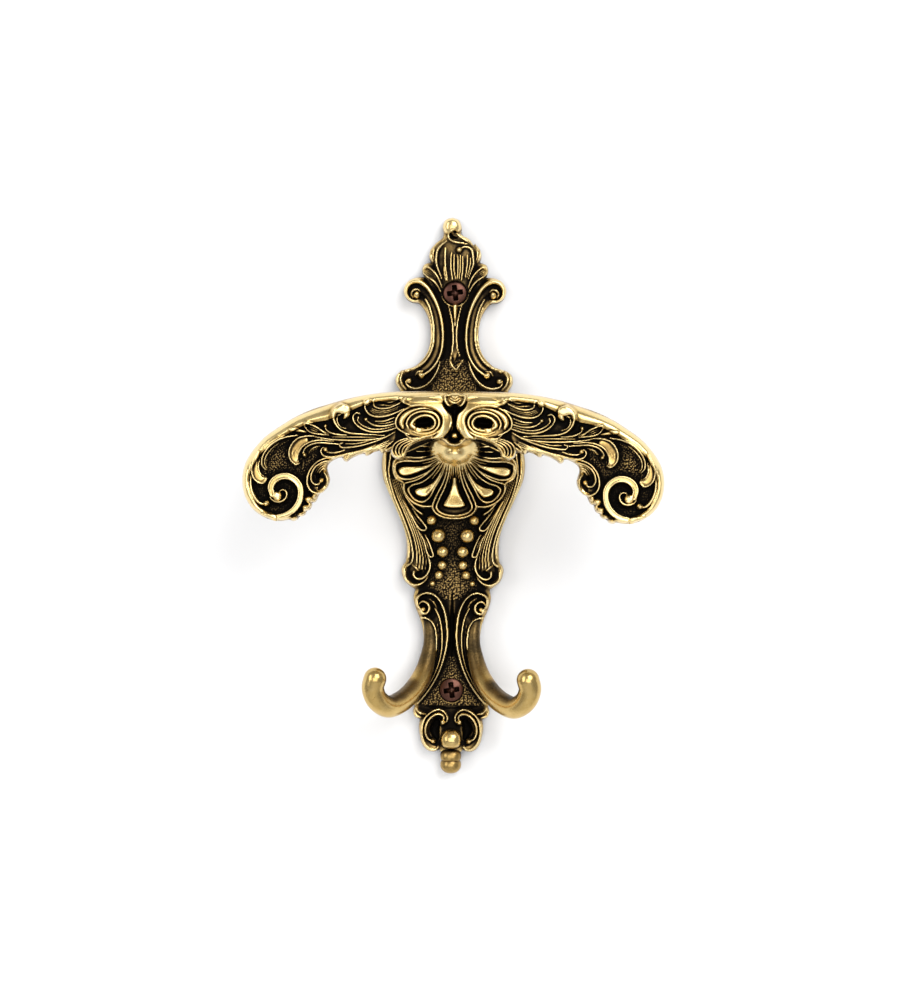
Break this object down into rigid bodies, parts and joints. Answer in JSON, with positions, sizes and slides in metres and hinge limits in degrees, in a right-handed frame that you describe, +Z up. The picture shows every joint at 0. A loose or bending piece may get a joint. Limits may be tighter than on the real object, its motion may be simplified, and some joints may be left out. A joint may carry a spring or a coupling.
{
  "type": "wall coat hook",
  "caption": "Ornate cast-brass wall coat hook: scrolled backplate with lower prongs and a winged crossbar on a shell-footed stem.",
  "frame": {"origin": "on the wall plane, halfway between the two wall screws", "axes": "+X to the right seen from the room, +Y into the wall, +Z up; the hook faces -Y"},
  "size_m": [0.1344, 0.0822, 0.1848],
  "materials": {
    "antique_brass": "cast brass, dark brown patina in the recesses, relief rubbed bright",
    "bronzed_screw": "bronzed steel, reddish brown, satin",
    "plated_steel": "zinc-plated steel"
  },
  "bodies": {
    "root": {"backplate": "antique_brass", "hanger_arm": "antique_brass", "upper_wall_screw": "bronzed_screw", "lower_wall_screw": "bronzed_screw", "arm_screw": "plated_steel"}
  },
  "joints": []
}
